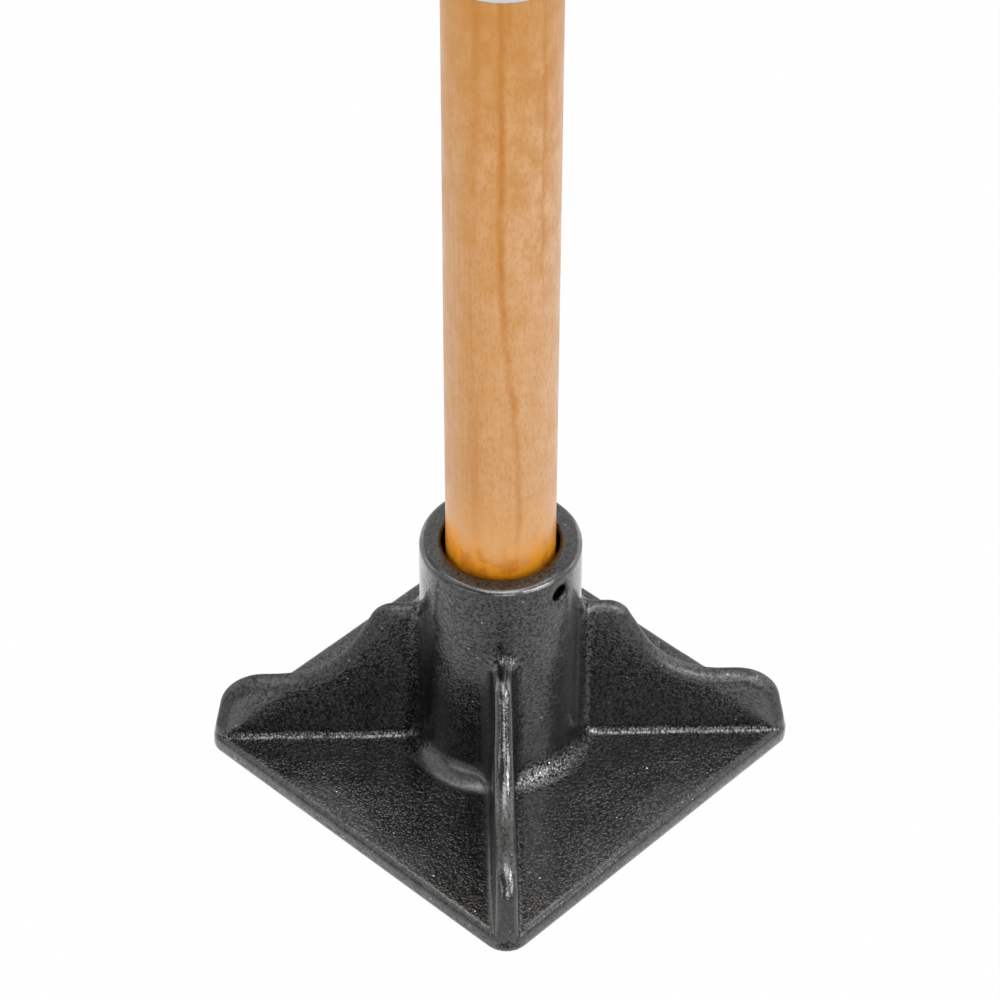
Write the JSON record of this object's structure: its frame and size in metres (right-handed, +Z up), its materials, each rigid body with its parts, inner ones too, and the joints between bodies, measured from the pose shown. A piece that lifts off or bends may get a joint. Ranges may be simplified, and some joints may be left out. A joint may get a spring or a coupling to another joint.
{
  "type": "hand tamper",
  "caption": "Hand tamper: a square cast-iron plate braced by diagonal ribs round a socket, on a long round wooden handle, for packing down soil, gravel or asphalt by hand.",
  "frame": {"origin": "centre of the tamping face, on the ground it stands on", "axes": "+Z up along the handle's axis; X and Y parallel to the plate's sides, so the ribs lie on the diagonals; the retaining screw enters from +X"},
  "size_m": [0.15, 0.15, 1.23],
  "materials": {
    "black_iron": "sand-cast surface under semi-gloss black paint",
    "varnished_wood": "clear varnish over straight-grained pale hardwood",
    "screw_steel": "plain bright steel, slightly dulled",
    "label_paper": "blank white coated paper"
  },
  "bodies": {
    "root": {"tamper_head": "black_iron", "handle": "varnished_wood", "handle_screw": "screw_steel", "handle_label": "label_paper"}
  },
  "joints": []
}
